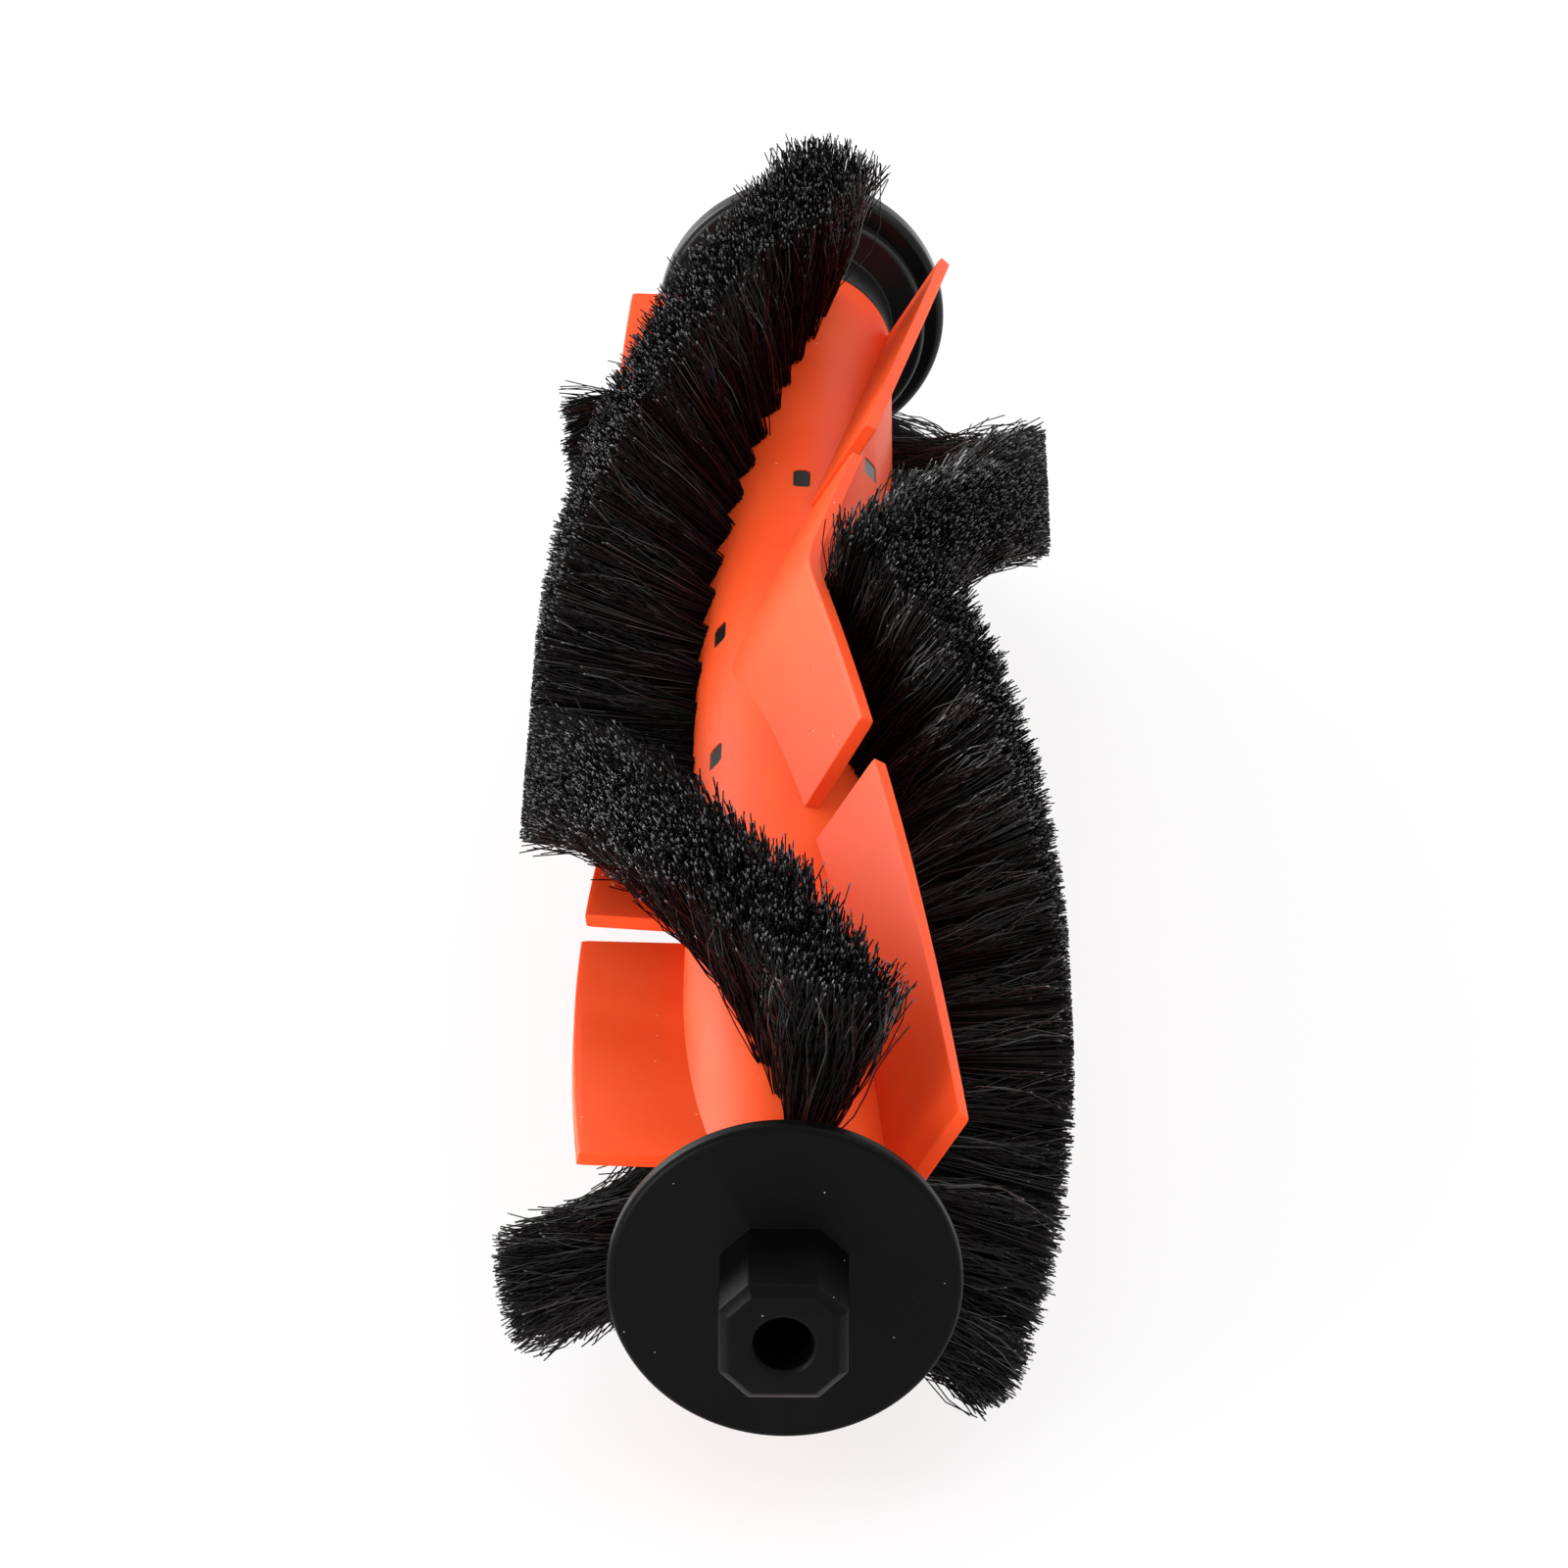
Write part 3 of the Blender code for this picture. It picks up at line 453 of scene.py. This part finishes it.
PIGMENT_PATCH = 0.015
LINT_CELL = 0.0016
LINT_REACH_SHARE = 0.065
SWELL_LENGTH = 0.009
SWELL_DEPTH = 0.00012
SKIN_GRAIN = 0.00025
SKIN_GRAIN_DEPTH = 0.000005
orange = bpy.data.materials.new("thermoplastic rubber, moulded orange")
orange.use_nodes = True
tree = orange.node_tree
shader = tree.nodes["Principled BSDF"]
shader.inputs["Specular IOR Level"].default_value = 0.12
shader.inputs["Subsurface Weight"].default_value = 0.4
shader.inputs["Subsurface Scale"].default_value = 0.0016
shader.inputs["Subsurface Radius"].default_value = (1.0, 0.22, 0.08)
place = add(tree, "ShaderNodeTexCoord").outputs["Object"]
# Faint drift of colour and shine, as pigment flows in the mould
drift = add(tree, "ShaderNodeTexNoise", {"Vector": place, "Scale": 1 / PIGMENT_PATCH,
                                         "Detail": 3.0})
drift_share = add(tree, "ShaderNodeMapRange", {"Value": drift.outputs["Fac"], "From Min": 0.35,
                                               "From Max": 0.65})
pigment = blend(tree, drift_share.outputs["Result"], linear("#f34e1f"), linear("#f75626"))
matte = add(tree, "ShaderNodeMapRange", {"Value": drift.outputs["Fac"], "From Min": 0.3,
                                         "From Max": 0.7, "To Min": 0.44, "To Max": 0.54})
tree.links.new(matte.outputs["Result"], shader.inputs["Roughness"])
# Lint and dust: pale specks of about 0.1 mm in a few cells, and rare dark ones
cells = add(tree, "ShaderNodeTexVoronoi", {"Vector": place, "Scale": 1 / LINT_CELL})
dusted = speckled(tree, pigment, cells, LINT_REACH_SHARE, "Red", 0.1, "#ffb79c")
specked = speckled(tree, dusted, cells, LINT_REACH_SHARE, "Green", 0.025, "#7a2010")
tree.links.new(specked, shader.inputs["Base Color"])
# Low swells where the thick rubber shrank, under the mould's fine grain
swell = add(tree, "ShaderNodeTexNoise", {"Vector": place, "Scale": 1 / SWELL_LENGTH,
                                         "Detail": 1.0})
swells = add(tree, "ShaderNodeBump", {"Height": swell.outputs["Fac"], "Strength": 1.0,
                                      "Distance": SWELL_DEPTH})
skin = add(tree, "ShaderNodeTexNoise", {"Vector": place, "Scale": 1 / SKIN_GRAIN, "Detail": 2.0})
fine = add(tree, "ShaderNodeBump", {"Height": skin.outputs["Fac"], "Strength": 1.0,
                                    "Distance": SKIN_GRAIN_DEPTH,
                                    "Normal": swells.outputs["Normal"]})
tree.links.new(fine.outputs["Normal"], shader.inputs["Normal"])
for piece in (sleeve, flaps):
    piece.data.materials.append(orange)
    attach(piece, "roller")
    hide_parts("flap_sleeve")

# Bristle rows: tufts of black nylon filament, folded and stapled into round holes in the core
# along three Vs, then trimmed to one radius.  Each tuft fans out until it meets its neighbours,
# the cut ends carry a painted glint of pale grey, and a few filaments bend out of the row.
ROW_COUNT = 3
ROW_APEX_ANGLE = 185.5
ROW_TWIST_PER_METRE = 1430.0
TUFTS_PER_ARM = 15
TUFT_PITCH = 0.005
TUFT_ROOT_RADIUS = 0.00125
TUFT_TIP_SPREAD = 0.0046
TIP_RADIUS = 0.021
FILAMENTS_PER_TUFT = 650
FILAMENT_RADIUS = 0.000064
FILAMENT_SIDES = 3
STRAND_POINTS = 7
INNER_SHARE = 0.7
RAGGED = 0.0011
BEND = 0.0013
WAVE = 0.0006
WAVE_TURNS = 1.3
WAVE_PHASES = 40.0
SHORTER = 0.0034
SHORTER_SHARE = 0.16
WILD_SHARE = 0.006
WILD_BEND = 1.3
CLUMP_SIZE = 0.0013
CLUMP_SWING = 2.6
CLUMP_BULGE = 2.0
FLAT_ROW_RADIUS = 0.02
FLOOR_CLEARANCE = 0.00015
CUT_FACE_FROM = 0.985

nylon = bpy.data.materials.new("nylon filament, extruded black")
nylon.use_nodes = True
tree = nylon.node_tree
shader = tree.nodes["Principled BSDF"]
share_out = add(tree, "ShaderNodeAttribute", attribute_name="share_out").outputs["Fac"]
filament_tone = add(tree, "ShaderNodeAttribute", attribute_name="filament_tone").outputs["Fac"]
# Painted highlight: the cut face at the tip is coloured pale grey on some filaments, standing in
# for the glint of light on the cut ends
at_tip = compare(tree, "GREATER_THAN", share_out, CUT_FACE_FROM)
bright = add(tree, "ShaderNodeMapRange", {"Value": filament_tone, "From Min": 0.6,
                                          "From Max": 1.0})
painted_glint_share = add(tree, "ShaderNodeMath", {0: at_tip, 1: bright.outputs["Result"]},
                operation="MULTIPLY")
dark_side = blend(tree, filament_tone, linear("#0b0909"), linear("#171414"))
tree.links.new(blend(tree, painted_glint_share.outputs[0], dark_side, linear("#787a7d")),
               shader.inputs["Base Color"])
sheen = add(tree, "ShaderNodeMapRange", {"Value": filament_tone, "To Min": 0.4, "To Max": 0.14})
tree.links.new(sheen.outputs["Result"], shader.inputs["Roughness"])
# A few filaments are clean and glossy, the others are dulled by dust and handling
gloss = add(tree, "ShaderNodeMapRange", {"Value": filament_tone, "From Min": 0.72,
                                         "From Max": 1.0, "To Min": 0.16, "To Max": 0.9})
# Painted shade: the shine fades to a quarter towards the root, where the packed filaments shade
# each other
shaded = add(tree, "ShaderNodeMapRange", {"Value": share_out, "To Min": 0.25, "To Max": 1.0})
level = add(tree, "ShaderNodeMath", {0: gloss.outputs["Result"], 1: shaded.outputs["Result"]},
            operation="MULTIPLY")
tree.links.new(level.outputs[0], shader.inputs["Specular IOR Level"])


def tuft_tree():
    """Geometry Nodes that grow filaments on tuft points laid out flat, then roll the row up."""
    group = bpy.data.node_groups.new("tufts of filament", "GeometryNodeTree")
    face = group.interface
    face.new_socket("Tufts", in_out="INPUT", socket_type="NodeSocketGeometry")
    for name, value in (("Filaments", FILAMENTS_PER_TUFT), ("Seed", 3)):
        face.new_socket(name, in_out="INPUT", socket_type="NodeSocketInt").default_value = value
    for name, value in (("Root radius", TUFT_ROOT_RADIUS), ("Tip spread", TUFT_TIP_SPREAD),
                        ("Foot height", SHAFT_RADIUS), ("Tip height", TIP_RADIUS),
                        ("Ragged", RAGGED), ("Bend", BEND), ("Wave", WAVE), ("Shorter", SHORTER),
                        ("Filament radius", FILAMENT_RADIUS), ("Axis height", AXIS_HEIGHT)):
        face.new_socket(name, in_out="INPUT", socket_type="NodeSocketFloat").default_value = value
    face.new_socket("Material", in_out="INPUT", socket_type="NodeSocketMaterial")
    face.new_socket("Row", in_out="OUTPUT", socket_type="NodeSocketGeometry")
    given = add(group, "NodeGroupInput").outputs

    def maths(operation, a, b=0.0):
        return add(group, "ShaderNodeMath", {0: a, 1: b}, operation=operation).outputs[0]

    def chance(seed_step, low=0.0, high=1.0):
        seed = maths("ADD", given["Seed"], float(seed_step))
        return add(group, "FunctionNodeRandomValue", {2: low, 3: high, "Seed": seed}).outputs[1]

    def named(name):
        return add(group, "GeometryNodeInputNamedAttribute", {"Name": name},
                   data_type="FLOAT").outputs[0]

    def store(geometry, name, value):
        return add(group, "GeometryNodeStoreNamedAttribute",
                   {"Geometry": geometry, "Name": name, "Value": value},
                   data_type="FLOAT", domain="POINT").outputs[0]

    points = add(group, "GeometryNodeMeshToPoints", {"Mesh": given["Tufts"]})
    many = add(group, "GeometryNodeDuplicateElements",
               {"Geometry": points.outputs[0], "Amount": given["Filaments"]}, domain="POINT")
    current = many.outputs["Geometry"]
    # Where a filament stands in its tuft, how it leans and how long it was trimmed
    angle_in_tuft = chance(1, 0.0, 2 * pi)
    out_in_tuft = maths("SQRT", chance(2))
    wild = maths("GREATER_THAN", chance(3), 1 - WILD_SHARE)
    astray = maths("ADD", 1.0, maths("MULTIPLY", wild, chance(4, 0.05, 0.2)))
    reach = maths("MULTIPLY", out_in_tuft, astray)
    bend = maths("ADD", 0.5, maths("MULTIPLY", wild, WILD_BEND))
    clipped = maths("GREATER_THAN", chance(9), 1 - SHORTER_SHARE)
    for name, value in (("offset_x", maths("MULTIPLY", reach, maths("COSINE", angle_in_tuft))),
                        ("offset_y", maths("MULTIPLY", reach, maths("SINE", angle_in_tuft))),
                        ("bend_x", maths("MULTIPLY", chance(5, -1.0, 1.0), bend)),
                        ("bend_y", maths("MULTIPLY", chance(6, -1.0, 1.0), bend)),
                        ("trim", maths("POWER", chance(7), 2.0)),
                        ("cut_short", maths("MULTIPLY", clipped, chance(10))),
                        ("wild", wild),
                        ("filament_tone", chance(8))):
        current = store(current, name, value)
    # Filaments inside a row show only their tips and stay straight; those on its faces are curved
    line = add(group, "GeometryNodeCurvePrimitiveLine", {"End": (0.0, 0.0, 1.0)})
    strand = add(group, "GeometryNodeResampleCurve", {"Curve": line.outputs[0],
                                                      "Count": STRAND_POINTS})
    seen_along = maths("MULTIPLY", named("offset_y"), named("open_end"))
    seen = maths("ADD", maths("POWER", named("offset_x"), 2.0), maths("POWER", seen_along, 2.0))
    inner = maths("LESS_THAN", maths("ADD", seen, named("wild")), INNER_SHARE ** 2)
    planted = []
    for chosen, shape in ((inner, line), (maths("SUBTRACT", 1.0, inner), strand)):
        planted.append(add(group, "GeometryNodeInstanceOnPoints", {
            "Points": current, "Instance": shape.outputs[0], "Selection": chosen}).outputs[0])
    joined = add(group, "GeometryNodeJoinGeometry")
    for instances in planted:
        group.links.new(instances, joined.inputs[0])
    current = add(group, "GeometryNodeRealizeInstances", {"Geometry": joined.outputs[0]}).outputs[0]

    # Neighbouring filaments bend alike, by a slow noise over the tips
    share = add(group, "GeometryNodeSplineParameter").outputs["Factor"]
    place = add(group, "GeometryNodeInputPosition").outputs[0]
    parts = add(group, "ShaderNodeSeparateXYZ", {0: place}).outputs
    tip_round = maths("ADD", maths("MULTIPLY", parts[0], FLAT_ROW_RADIUS),
                      maths("MULTIPLY", named("offset_x"), given["Tip spread"]))
    tip_along = maths("ADD", parts[1], maths("MULTIPLY", named("offset_y"), given["Tip spread"]))
    tip_place = add(group, "ShaderNodeCombineXYZ", {0: tip_round, 1: tip_along})
    clump = add(group, "ShaderNodeTexNoise", {"Vector": tip_place.outputs[0],
                                              "Scale": 1 / CLUMP_SIZE, "Detail": 1.0})
    clump_parts = add(group, "FunctionNodeSeparateColor", {"Color": clump.outputs["Color"]}).outputs
    curve = maths("POWER", share, 1.5)
    belly = maths("SINE", maths("MULTIPLY", share, pi))
    spread = maths("MULTIPLY", given["Tip spread"], named("splay"))
    growth = maths("MULTIPLY", maths("SUBTRACT", spread, given["Root radius"]),
                   maths("POWER", share, 1.12))
    flare = maths("ADD", given["Root radius"], growth)

    def wave(phase):
        turns = maths("ADD", maths("MULTIPLY", share, 2 * pi * WAVE_TURNS),
                      maths("MULTIPLY", named(phase), WAVE_PHASES))
        return maths("MULTIPLY", maths("MULTIPLY", maths("SINE", turns), given["Wave"]), share)

    def sideways(offset, bend, belly_bend, clumping, lean, phase):
        clump_swing = maths("MULTIPLY", maths("SUBTRACT", clumping, 0.5), CLUMP_SWING)
        clump_bulge = maths("MULTIPLY", maths("SUBTRACT", clump_parts[2], 0.5), CLUMP_BULGE)
        swing = maths("ADD", named(bend), clump_swing)
        bulge = maths("ADD", maths("MULTIPLY", named(belly_bend), 0.75), clump_bulge)
        both = maths("ADD", maths("MULTIPLY", swing, curve), maths("MULTIPLY", bulge, belly))
        bent = maths("ADD", maths("MULTIPLY", both, given["Bend"]),
                     maths("MULTIPLY", named(lean), curve))
        waved = maths("ADD", bent, wave(phase))
        return maths("ADD", maths("MULTIPLY", named(offset), flare), waved)

    across = sideways("offset_x", "bend_x", "bend_y", clump_parts[0], "lean_round",
                      "filament_tone")
    along = sideways("offset_y", "bend_y", "bend_x", clump_parts[1], "lean_along", "trim")
    trimmed = maths("SUBTRACT", given["Tip height"],
                    maths("MULTIPLY", named("trim"), given["Ragged"]))
    top = maths("SUBTRACT", trimmed, maths("MULTIPLY", named("cut_short"), given["Shorter"]))
    height = maths("ADD", given["Foot height"],
                   maths("MULTIPLY", maths("SUBTRACT", top, given["Foot height"]), share))
    # The height becomes the radius and the sideways place an angle: the flat row rolls up
    turn = maths("ADD", parts[0], maths("DIVIDE", across, height))
    raised = maths("ADD", given["Axis height"], maths("MULTIPLY", height, maths("SINE", turn)))
    aside = maths("MULTIPLY", height, maths("COSINE", turn))
    rolled = add(group, "ShaderNodeCombineXYZ", {0: aside, 1: maths("ADD", parts[1], along),
                                                 2: maths("MAXIMUM", raised, FLOOR_CLEARANCE)})
    current = store(current, "share_out", share)
    current = add(group, "GeometryNodeSetPosition", {"Geometry": current,
                                                     "Position": rolled.outputs[0]}).outputs[0]
    ring = add(group, "GeometryNodeCurvePrimitiveCircle", {"Resolution": FILAMENT_SIDES,
                                                           "Radius": given["Filament radius"]})
    tube = add(group, "GeometryNodeCurveToMesh", {"Curve": current, "Fill Caps": True,
                                                  "Profile Curve": ring.outputs[0]})
    real = add(group, "GeometryNodeRealizeInstances", {"Geometry": tube.outputs[0]})
    coloured = add(group, "GeometryNodeSetMaterial", {"Geometry": real.outputs[0],
                                                      "Material": given["Material"]})
    out = add(group, "NodeGroupOutput")
    group.links.new(coloured.outputs[0], out.inputs[0])
    return group


# Tufts take a set of their own in use.  By row and number from the apex, minus towards the drive
# end: how far the tips lean round and along, and how wide they splay.
SET_TUFTS = {(0, 12): (0, -0.0014, 1), (0, 13): (0, -0.0018, 1), (0, 14): (0.001, -0.0016, 1),
             (0, 15): (0.0016, -0.0014, 0.95), (1, -15): (0.0008, 0.001, 0.6),
             (1, -14): (0.0006, 0.0014, 0.8), (1, -13): (0.0002, 0.0012, 1),
             (1, -12): (0, 0.001, 1), (1, -11): (0, 0.0006, 1), (2, -15): (-0.0008, 0, 0.9),
             (2, -14): (-0.0005, 0, 1), (2, 13): (0, -0.0008, 1), (2, 14): (0, -0.0014, 1),
             (2, 15): (0, -0.002, 1)}
for number in range(0, 14):
    SET_TUFTS[(1, number)] = (0.0008, 0, 1) if number < 6 else (0.0012, 0.0016, 1.12)
LEAN_CHANCE = 0.0004
OPEN_END_FROM = 14
ARMS = (("drive", range(-TUFTS_PER_ARM, 0), 7), ("idle", range(0, TUFTS_PER_ARM + 1), 57))
chance_lean = random.Random(5)
tufts = tuft_tree()
keys = {item.name: item.identifier for item in tufts.interface.items_tree
        if item.in_out == "INPUT"}
for row in range(ROW_COUNT):
    for arm, numbers, seed in ARMS:
        points = []
        sets = []
        for number in numbers:
            from_apex = number * TUFT_PITCH
            angle = ROW_APEX_ANGLE - 360 / ROW_COUNT * row - ROW_TWIST_PER_METRE * abs(from_apex)
            points.append((radians(angle), ROLLER_START + APEX + from_apex, 0))
            lean_round, lean_along, splay = SET_TUFTS.get((row, number), (0, 0, 1))
            sets.append((lean_round + chance_lean.uniform(-LEAN_CHANCE, LEAN_CHANCE),
                         lean_along + chance_lean.uniform(-LEAN_CHANCE, LEAN_CHANCE), splay,
                         1.0 if abs(number) >= OPEN_END_FROM else 0.25))
        flat = bpy.data.meshes.new("tuft_points")
        flat.from_pydata(points, [], [])
        for name, values in zip(("lean_round", "lean_along", "splay", "open_end"), zip(*sets)):
            flat.attributes.new(name, "FLOAT", "POINT").data.foreach_set("value", values)
        grown = bpy.data.objects.new("bristles_" + arm + "_" + str(row + 1), flat)
        bpy.context.scene.collection.objects.link(grown)
        growth = grown.modifiers.new("tufts", "NODES")
        growth.node_group = tufts
        growth[keys["Seed"]] = 100 * row + seed
        growth[keys["Material"]] = nylon
        baked(grown)
        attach(grown, "roller")
        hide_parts("bristle_row_" + str(row + 1))

# Idle end cap: a smooth black acetal cap that stands still in the machine while the brush turns.
# Its blind hub holds the ball bearing, and its rounded rim is the widest ring of the idle end.
# Acetal comes out of the mould slippery and evenly dark, with little dust on it.
CAP_START = 0.1703
CAP_RIM_END = 0.1729
CAP_RIM_ROUND = 0.0007
POCKET_RADIUS = 0.0051
POCKET_END = 0.1754
HUB_RADIUS = 0.007
HUB_END = 0.1766
HUB_END_ROUND = 0.0005
CAP_INNER_ROUND = 0.0002
acetal = moulded("acetal, moulded black", "#0b0b0c", roughness=0.32, grain_mm=0.3,
                 grain_depth=0.000004, dust_colour="#858787", dust_share=0.03, specular=0.18)
rim_round_at = DISC_RADIUS - CAP_RIM_ROUND
idle_cap = turned("idle_cap", [
    (0, HUB_END),
    *rounded(HUB_RADIUS - HUB_END_ROUND, HUB_END - HUB_END_ROUND, HUB_END_ROUND, 90, 0, 4),
    *rounded(HUB_RADIUS + CAP_INNER_ROUND, CAP_RIM_END + CAP_INNER_ROUND, CAP_INNER_ROUND,
             180, 270, 3),
    *rounded(rim_round_at, CAP_RIM_END - CAP_RIM_ROUND, CAP_RIM_ROUND, 90, 0),
    *rounded(rim_round_at, CAP_START + CAP_RIM_ROUND, CAP_RIM_ROUND, 0, -90),
    *rounded(POCKET_RADIUS + CAP_INNER_ROUND, CAP_START + CAP_INNER_ROUND, CAP_INNER_ROUND,
             270, 180, 3),
    (POCKET_RADIUS, POCKET_END), (0, POCKET_END)])
idle_cap.data.materials.append(acetal)
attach(idle_cap, "end_cap")
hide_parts("idle_end_cap")

# Bearing and pin: a small shielded ball bearing of ground chrome steel with a pressed cage, on a
# drawn steel pin that is pressed into the shaft.  All of it is hidden in the idle end, so the
# solids themselves carry the bright steel with its tool marks.
MARK_SIZE = 0.0006
BALL_COUNT = 7


def steel(name, colour, roughness, stretch):
    """Steel with fine tool marks that run round the axis."""
    material = bpy.data.materials.new(name)
    material.use_nodes = True
    tree = material.node_tree
    shader = tree.nodes["Principled BSDF"]
    shader.inputs["Metallic"].default_value = 1.0
    place = add(tree, "ShaderNodeTexCoord").outputs["Object"]
    squeezed = add(tree, "ShaderNodeMapping", {"Vector": place, "Scale": (1.0, stretch, 1.0)})
    marks = add(tree, "ShaderNodeTexNoise", {"Vector": squeezed.outputs[0],
                                             "Scale": 1 / MARK_SIZE, "Detail": 4.0})
    tint = blend(tree, marks.outputs["Fac"], linear(colour), linear("#d9dadb"))
    tree.links.new(tint, shader.inputs["Base Color"])
    rough = add(tree, "ShaderNodeMapRange", {"Value": marks.outputs["Fac"],
                                             "To Min": roughness - 0.06,
                                             "To Max": roughness + 0.08})
    tree.links.new(rough.outputs["Result"], shader.inputs["Roughness"])
    return material


ground = steel("chrome steel, ground", "#c3c4c6", roughness=0.2, stretch=14.0)
drawn = steel("steel wire, drawn", "#b9babc", roughness=0.3, stretch=1.0)
pressed = steel("steel strip, pressed", "#b5b2ab", roughness=0.36, stretch=3.0)
for node_name, finish in (
        ("axle_pin", drawn), ("bearing_inner_race", ground), ("bearing_outer_race", ground),
        ("bearing_shield_roller_side", ground), ("bearing_shield_cap_side", ground),
        ("bearing_cage", pressed),
        *(("bearing_ball_" + str(n), ground) for n in range(1, BALL_COUNT + 1))):
    hidden = frame["nodes"][node_name]
    hidden.data.materials.clear()
    hidden.data.materials.append(finish)

# Studio: a light tent with a white paper floor, two softboxes at the left and a weak one
# overhead, seen through a long lens from above the drive end, as in the photograph.
FLOOR_HALF = 6
PAPER_WHITE_SHARE = 0.76
floor_mesh = bpy.data.meshes.new("floor")
floor_mesh.from_pydata([(-FLOOR_HALF, -FLOOR_HALF, 0), (FLOOR_HALF, -FLOOR_HALF, 0),
                        (FLOOR_HALF, FLOOR_HALF, 0), (-FLOOR_HALF, FLOOR_HALF, 0)],
                       [], [(0, 1, 2, 3)])
floor = bpy.data.objects.new("floor", floor_mesh)
bpy.context.scene.collection.objects.link(floor)
paper = bpy.data.materials.new("white paper sweep")
paper.use_nodes = True
tree = paper.node_tree
matte_paper = tree.nodes["Principled BSDF"]
matte_paper.inputs["Base Color"].default_value = linear("#fbfbfb")
matte_paper.inputs["Roughness"].default_value = 0.9
# The camera sees the paper nearly burnt out to white, with the shadow left faint
to_camera = add(tree, "ShaderNodeLightPath").outputs["Is Camera Ray"]
share = add(tree, "ShaderNodeMath", {0: to_camera, 1: PAPER_WHITE_SHARE}, operation="MULTIPLY")
white = add(tree, "ShaderNodeEmission", {"Color": (1, 1, 1, 1), "Strength": 1.0})
lit = add(tree, "ShaderNodeMixShader", {0: share.outputs[0], 1: matte_paper.outputs[0],
                                        2: white.outputs[0]})
tree.links.new(lit.outputs[0], tree.nodes["Material Output"].inputs["Surface"])
floor_mesh.materials.append(paper)

world = bpy.data.worlds.new("white room")
bpy.context.scene.world = world
world.use_nodes = True
tent = world.node_tree.nodes["Background"]
tent.inputs["Color"].default_value = (1, 1, 1, 1)
tent.inputs["Strength"].default_value = 1.0


def lamp(name, place, target, size, power):
    """A square softbox that points at a target."""
    light = bpy.data.lights.new(name, "AREA")
    light.shape = "SQUARE"
    light.size = size
    light.energy = power
    box = bpy.data.objects.new(name, light)
    box.location = place
    box.rotation_euler = (Vector(target) - Vector(place)).to_track_quat("-Z", "Y").to_euler()
    bpy.context.scene.collection.objects.link(box)


lamp("front left softbox", (-0.7, -0.7, 0.2), (0, -0.02, 0.01), size=0.5, power=7.3)
lamp("back left softbox", (-0.7, 0.6, 0.35), (0, 0, 0.01), size=0.5, power=6.0)
lamp("overhead softbox", (0.6, 0.0, 0.75), (0, 0, 0), size=0.6, power=1.5)

camera_data = bpy.data.cameras.new("camera")
camera_data.sensor_width = 36
camera_data.lens = 195.6
camera_data.clip_start = 0.01
camera = bpy.data.objects.new("camera", camera_data)
bpy.context.scene.collection.objects.link(camera)
bpy.context.scene.camera = camera
forward = Vector((-0.00775, 0.89553, -0.44493)).normalized()
right = Vector((0.99996, 0.00865, 0)).normalized()
up = right.cross(forward)
pose = Matrix((right, up, -forward)).transposed().to_4x4()
pose.translation = Vector((0.00445, ROLLER_START - 0.5175, AXIS_HEIGHT + 0.2962))
camera.matrix_world = pose
bpy.context.scene.view_settings.view_transform = "Standard"
